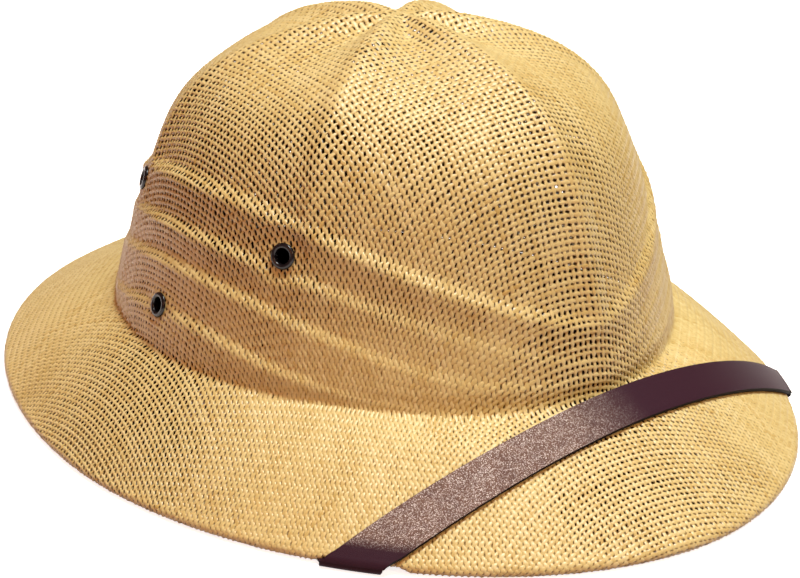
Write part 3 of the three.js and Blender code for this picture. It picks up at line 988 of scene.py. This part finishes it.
def strapHalf(side):
    # points of the strap's inner face from the middle of the brim to one end, station by station
    across = np.linspace(-1, 1, strap["acrossSteps"] + 1)
    low, high = (np.full(across.shape, limit) for limit in strap["edgeSearch"])
    for turn in range(strap["searchRounds"]):
        middle = (low + high) / 2
        past = brimPlace(side * middle, strapLine(side * middle, across))[1] > strap["lastOver"]
        low, high = np.where(past, low, middle), np.where(past, middle, high)
    stations, places = [], []
    steps = strap["overSteps"] // 2
    for step in range(steps + 1):
        x = side * low * step / steps
        places.append(brimPlace(x, strapLine(x, across)))
        stations.append(brimPoint(*places[-1], strap["clear"]))
    # over the edge in one bend, then under in a tighter one, slanting on as it goes
    before, (angle, share) = places[-2:]
    slope = np.arctan2(hat["crownBase"] - hat["lipDrop"], brimRun(angle))
    bend, tuck = strap["bendRadius"], strap["underRadius"]
    start = brimSection(angle, share, strap["clear"])
    earlier = brimSection(*before, strap["clear"])
    slant = (angle - before[0]) / np.hypot(start[0] - earlier[0], start[1] - earlier[1])
    hubOut = strap["bendOut"] - bend
    firstZ = start[1] - np.tan(slope) * (brimRadius(angle) + hubOut + bend * np.sin(slope) - start[0])
    hubZ = firstZ - bend * np.cos(slope)
    gone, last = 0.0, (start[0] - brimRadius(angle), start[1])
    for step in range(2 * strap["bendSteps"] + 2):
        if step <= strap["bendSteps"]:
            tilt = lerp(slope, np.pi / 2, step / strap["bendSteps"])
            out, z = hubOut + bend * np.sin(tilt), hubZ + bend * np.cos(tilt)
        else:
            tilt = np.pi / 2 * (1 + (step - strap["bendSteps"] - 1) / strap["bendSteps"])
            out = strap["bendOut"] - tuck + tuck * np.sin(tilt)
            z = np.minimum(strap["under"] + tuck + tuck * np.cos(tilt), hubZ)
        gone = gone + np.hypot(out - last[0], z - last[1])
        last = out, z
        turned = angle + slant * gone
        stations.append(sectionPoint(turned, brimRadius(turned) + out, z, hat["brimCentreY"]))
    ends = []
    for degrees in (strap["flatAngle"], strap["postAngle"], strap["endAngle"]):
        angle = side * math.radians(degrees) + 0 * across
        length = np.hypot(brimRun(angle), hat["crownBase"] - hat["lipDrop"])
        share = strap["endShare"] + across * strap["endHalf"] / length
        ends.append(brimPoint(angle, share, -strap["strawBack"] - strap["clear"]))
    begin = stations[-1]
    for step in range(1, strap["underSteps"]):
        stations.append(lerp(begin, ends[0], step / strap["underSteps"]))
    return stations + ends


def roundEdges(piece, width, degrees, material=-1):
    soft = piece.modifiers.new("soft", "BEVEL")
    soft.width = width * mm
    soft.segments = 2
    soft.limit_method = "ANGLE"
    soft.angle_limit = math.radians(degrees)
    soft.material = material
    bpy.ops.object.modifier_apply(modifier="soft")


def makeStrap():
    stations = strapHalf(-1)[:0:-1] + strapHalf(1)
    bpy.ops.object.select_all(action="DESELECT")
    bpy.ops.mesh.primitive_grid_add(
        x_subdivisions=strap["acrossSteps"], y_subdivisions=len(stations) - 1, size=1)
    band = bpy.context.object
    band.name = "chin_strap"
    band.data.vertices.foreach_set("co", (np.array(stations) * mm).astype(np.float32).ravel())
    bpy.ops.object.mode_set(mode="EDIT")
    bpy.ops.mesh.select_all(action="SELECT")
    bpy.ops.mesh.normals_make_consistent(inside=False)
    bpy.ops.object.mode_set(mode="OBJECT")
    middle = band.data.polygons[len(band.data.polygons) // 2]
    if middle.normal.z < 0:
        band.data.flip_normals()
    for finish in strapMaterials():
        band.data.materials.append(finish)
    thick = band.modifiers.new("thick", "SOLIDIFY")
    thick.thickness = strap["thickness"] * mm
    thick.offset = 1.0
    # the band's sides and its rounded edges take the second finish, painted shade
    thick.material_offset_rim = 1
    bpy.ops.object.modifier_apply(modifier="thick")
    roundEdges(band, strap["edgeRound"], strap["sharpFrom"], material=1)
    bpy.ops.object.shade_smooth_by_angle(angle=math.radians(strap["smooth"]))
    places = np.array([v.co for v in band.data.vertices]) / mm
    edge = brimPlace(places[:, 0], places[:, 1])[1]
    # painted highlight: strongest where the strap lies over the brim, fading out before the edge and towards
    # the left
    highlightShare = (1 - smoothStep(edge, *strap["highlightEdge"])) * (1 - smoothStep(places[:, 0], *strap["highlightTo"]))
    addAttribute(band.data, "paintedHighlight", highlightShare)
    return band


def strapMaterials():
    made, tree = newMaterial("plum leatherette")
    # coated leatherette with an embossed grain: dark plum; its middle is a painted highlight, lighter brown
    # with pale flecks as painted glints
    place = addNode(tree, "ShaderNodeTexCoord")
    grain = addNode(tree, "ShaderNodeTexVoronoi", {
        "Vector": place.outputs["Object"],
        "Scale": 1 / (strap["grainSize"] * mm),
    })
    chance = addNode(tree, "ShaderNodeSeparateColor", {"Color": grain.outputs["Color"]})
    paintedHighlight = addNode(tree, "ShaderNodeAttribute", attribute_name="paintedHighlight")
    patchy = mapRange(tree, addNoise(tree, strap["cloudSize"], detail=4.0), *strap["cloudRange"])
    wearAndHighlight = addMath(tree, "MULTIPLY", paintedHighlight.outputs["Fac"], patchy)
    colour = mixColours(tree, wearAndHighlight, linearColour(strap["colour"]), linearColour(strap["highlightColour"]))
    # pale grains inside the painted highlight are painted glints
    glintShare = mapRange(tree, chance.outputs["Red"], strap["glintFrom"], 1.0)
    paintedGlint = addMath(tree, "MULTIPLY", glintShare, wearAndHighlight)
    finishMaterial(tree, {
        "Base Color": mixColours(tree, paintedGlint, colour, linearColour(strap["glintColour"])),
        "Roughness": strap["roughness"],
        "Specular IOR Level": strap["gloss"],
        "Normal": addBump(tree, grain.outputs["Distance"], *strap["grainBump"]),
    })
    shadedEdge, tree = newMaterial("leatherette edge in painted shade")
    # raw edge of the band, painted nearly black as the shade on its sides, a little uneven
    finishMaterial(tree, {
        "Base Color": linearColour(strap["edgeShadeColour"]),
        "Roughness": strap["edgeRoughness"],
        "Specular IOR Level": strap["edgeGloss"],
        "Normal": addBump(tree, addNoise(tree, strap["fuzzSize"]), *strap["fuzzBump"]),
    })
    return made, shadedEdge


band = makeStrap()
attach(band, "root")
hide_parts("strap")
print("strap laid:", len(band.data.polygons), "faces")


# Vent eyelets: black enamelled rings, rolled over outside and clinched inside

ventRing = {
    # section from the bore over the roll and back inside: radius and height above the straw
    "section": [
        (2.6, 0.15), (2.68, 0.46), (2.92, 0.74), (3.3, 0.88), (3.75, 0.84), (4.15, 0.6), (4.42, 0.25),
        (4.44, -0.02), (4.2, -0.16), (3.5, -0.18), (3.3, -0.35), (3.28, -0.95), (3.8, -1.02), (4.15, -1.15),
        (4.2, -1.36), (3.9, -1.56), (3.2, -1.6), (2.75, -1.42), (2.62, -1.0),
    ],
    "steps": 40,
    "weld": 0.01,
    "smooth": 50,  # degrees
    "wearAndHighlight": (0.72, 0.95),  # heights between which the roll is rubbed
    "colour": "0B0A10",
    "wornColour": "2C282E",
    "dustSize": 1.5,  # mm
    "dustRange": (0.3, 0.8),
    "roughness": (0.2, 0.35),  # clean, dusty
    "refraction": 1.55,
    "gloss": 0.25,
    "coat": 0.12,
    "coatRoughness": 0.1,
}


def markWorn(piece, low, high):
    heights = np.array([v.co.z for v in piece.data.vertices]) / mm
    addAttribute(piece.data, "wearAndHighlight", smoothStep(heights, low, high))


def makeRing():
    section = ventRing["section"]
    bpy.ops.object.select_all(action="DESELECT")
    bpy.ops.mesh.primitive_circle_add(vertices=len(section), radius=1, fill_type="NOTHING")
    ring = bpy.context.object
    for vertex, (radius, height) in zip(ring.data.vertices, section):
        vertex.co = (radius * mm, 0, height * mm)
    bpy.ops.object.mode_set(mode="EDIT")
    bpy.ops.mesh.select_all(action="SELECT")
    bpy.ops.mesh.spin(steps=ventRing["steps"], angle=2 * math.pi, center=(0, 0, 0), axis=(0, 0, 1))
    bpy.ops.mesh.select_all(action="SELECT")
    bpy.ops.mesh.remove_doubles(threshold=ventRing["weld"] * mm)
    bpy.ops.mesh.normals_make_consistent(inside=False)
    bpy.ops.object.mode_set(mode="OBJECT")
    bpy.ops.object.shade_smooth_by_angle(angle=math.radians(ventRing["smooth"]))
    markWorn(ring, *ventRing["wearAndHighlight"])
    return ring


def copyPiece(piece):
    made = piece.copy()
    made.data = piece.data.copy()
    bpy.context.collection.objects.link(made)
    return made


def setPiece(piece, name, point, normal):
    # turned to its place, which then goes into the mesh
    piece.name = name
    piece.data.name = name
    piece.rotation_mode = "QUATERNION"
    piece.rotation_quaternion = Vector(normal).to_track_quat("Z", "Y")
    piece.location = Vector(point) * mm
    bpy.ops.object.select_all(action="DESELECT")
    piece.select_set(True)
    bpy.context.view_layer.objects.active = piece
    bpy.ops.object.transform_apply(location=True, rotation=True, scale=True)


def enamelMaterial():
    made, tree = newMaterial("black enamelled brass")
    # stoved enamel: deep black with a wet gloss, dulled a little by dust and rubbed along the roll
    dust = addNoise(tree, ventRing["dustSize"], detail=4.0)
    wearAndHighlight = addNode(tree, "ShaderNodeAttribute", attribute_name="wearAndHighlight")
    patchy = addMath(tree, "MULTIPLY", wearAndHighlight.outputs["Fac"], dust)
    finishMaterial(tree, {
        "Base Color": mixColours(
            tree, patchy, linearColour(ventRing["colour"]), linearColour(ventRing["wornColour"])),
        "Roughness": mapRange(tree, dust, *ventRing["dustRange"], *ventRing["roughness"]),
        "IOR": ventRing["refraction"],
        "Specular IOR Level": ventRing["gloss"],
        "Coat Weight": ventRing["coat"],
        "Coat Roughness": ventRing["coatRoughness"],
    })
    return made


enamel = enamelMaterial()
firstRing = makeRing()
firstRing.data.materials.append(enamel)
rings = [firstRing] + [copyPiece(firstRing) for spare in range(len(vents) - 1)]
for ring, (name, (ventAngle, ventHeight)) in zip(rings, vents.items()):
    point, normal = ventFrame(ventAngle, ventHeight)
    setPiece(ring, name.replace("eyelet", "vent_ring"), point, normal)
    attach(ring, "root")
    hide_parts(name)
print("vent rings set:", len(rings))


# Rivets that hold the strap's ends under the brim

rivet = {
    "headRadius": 4.5,
    "head": 1.2,
    "sides": 32,
    "dome": ((0.9, 0.34), (1.2, 0.2), (1.3, 0.06)),  # inward and up, step by step
    "shankRadius": 1.8,
    "shankPast": 0.35,  # through the strap
    "edgeRound": 0.15,
    "smooth": 50,  # degrees
    "level": 0.9,  # upward share of a flat face's direction
    "wearAndHighlight": (0.5, 1.2),
}


def pickFaces(piece, wanted):
    bpy.ops.mesh.select_all(action="DESELECT")
    bpy.ops.object.mode_set(mode="OBJECT")
    for face in piece.data.polygons:
        face.select = wanted(face)
    bpy.ops.object.mode_set(mode="EDIT")


def makeRivet():
    # head first, its top domed in three steps, then the shank drawn out of its underside
    bpy.ops.object.select_all(action="DESELECT")
    bpy.ops.mesh.primitive_cylinder_add(
        vertices=rivet["sides"], radius=rivet["headRadius"] * mm, depth=rivet["head"] / 2 * mm,
        location=(0, 0, rivet["head"] / 4 * mm))
    made = bpy.context.object
    bpy.ops.object.transform_apply(location=True)
    bpy.ops.object.mode_set(mode="EDIT")
    bpy.ops.mesh.select_mode(type="FACE")
    pickFaces(made, lambda face: face.normal.z > rivet["level"])
    for inset, rise in rivet["dome"]:
        bpy.ops.mesh.inset(thickness=inset * mm)
        bpy.ops.transform.translate(value=(0, 0, rise * mm))
    pickFaces(made, lambda face: face.normal.z < -rivet["level"])
    bpy.ops.mesh.inset(thickness=(rivet["headRadius"] - rivet["shankRadius"]) * mm)
    shank = (strap["thickness"] + rivet["shankPast"]) * mm
    bpy.ops.mesh.extrude_region_move(TRANSFORM_OT_translate={"value": (0, 0, -shank)})
    bpy.ops.object.mode_set(mode="OBJECT")
    roundEdges(made, rivet["edgeRound"], rivet["smooth"])
    bpy.ops.object.shade_smooth_by_angle(angle=math.radians(rivet["smooth"]))
    markWorn(made, *rivet["wearAndHighlight"])
    return made


firstRivet = makeRivet()
firstRivet.data.materials.append(enamel)
secondRivet = copyPiece(firstRivet)
for made, side, label in ((firstRivet, -1, "right"), (secondRivet, 1, "left")):
    angle = side * math.radians(strap["postAngle"])
    under = strap["strawBack"] + strap["clear"] + strap["thickness"]
    point = brimPoint(angle, strap["endShare"], -under)
    setPiece(made, f"strap_rivet_{label}", point, -brimNormal(angle, strap["endShare"]))
    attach(made, "root")
    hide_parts(f"strap_post_{label}")
print("rivets set")
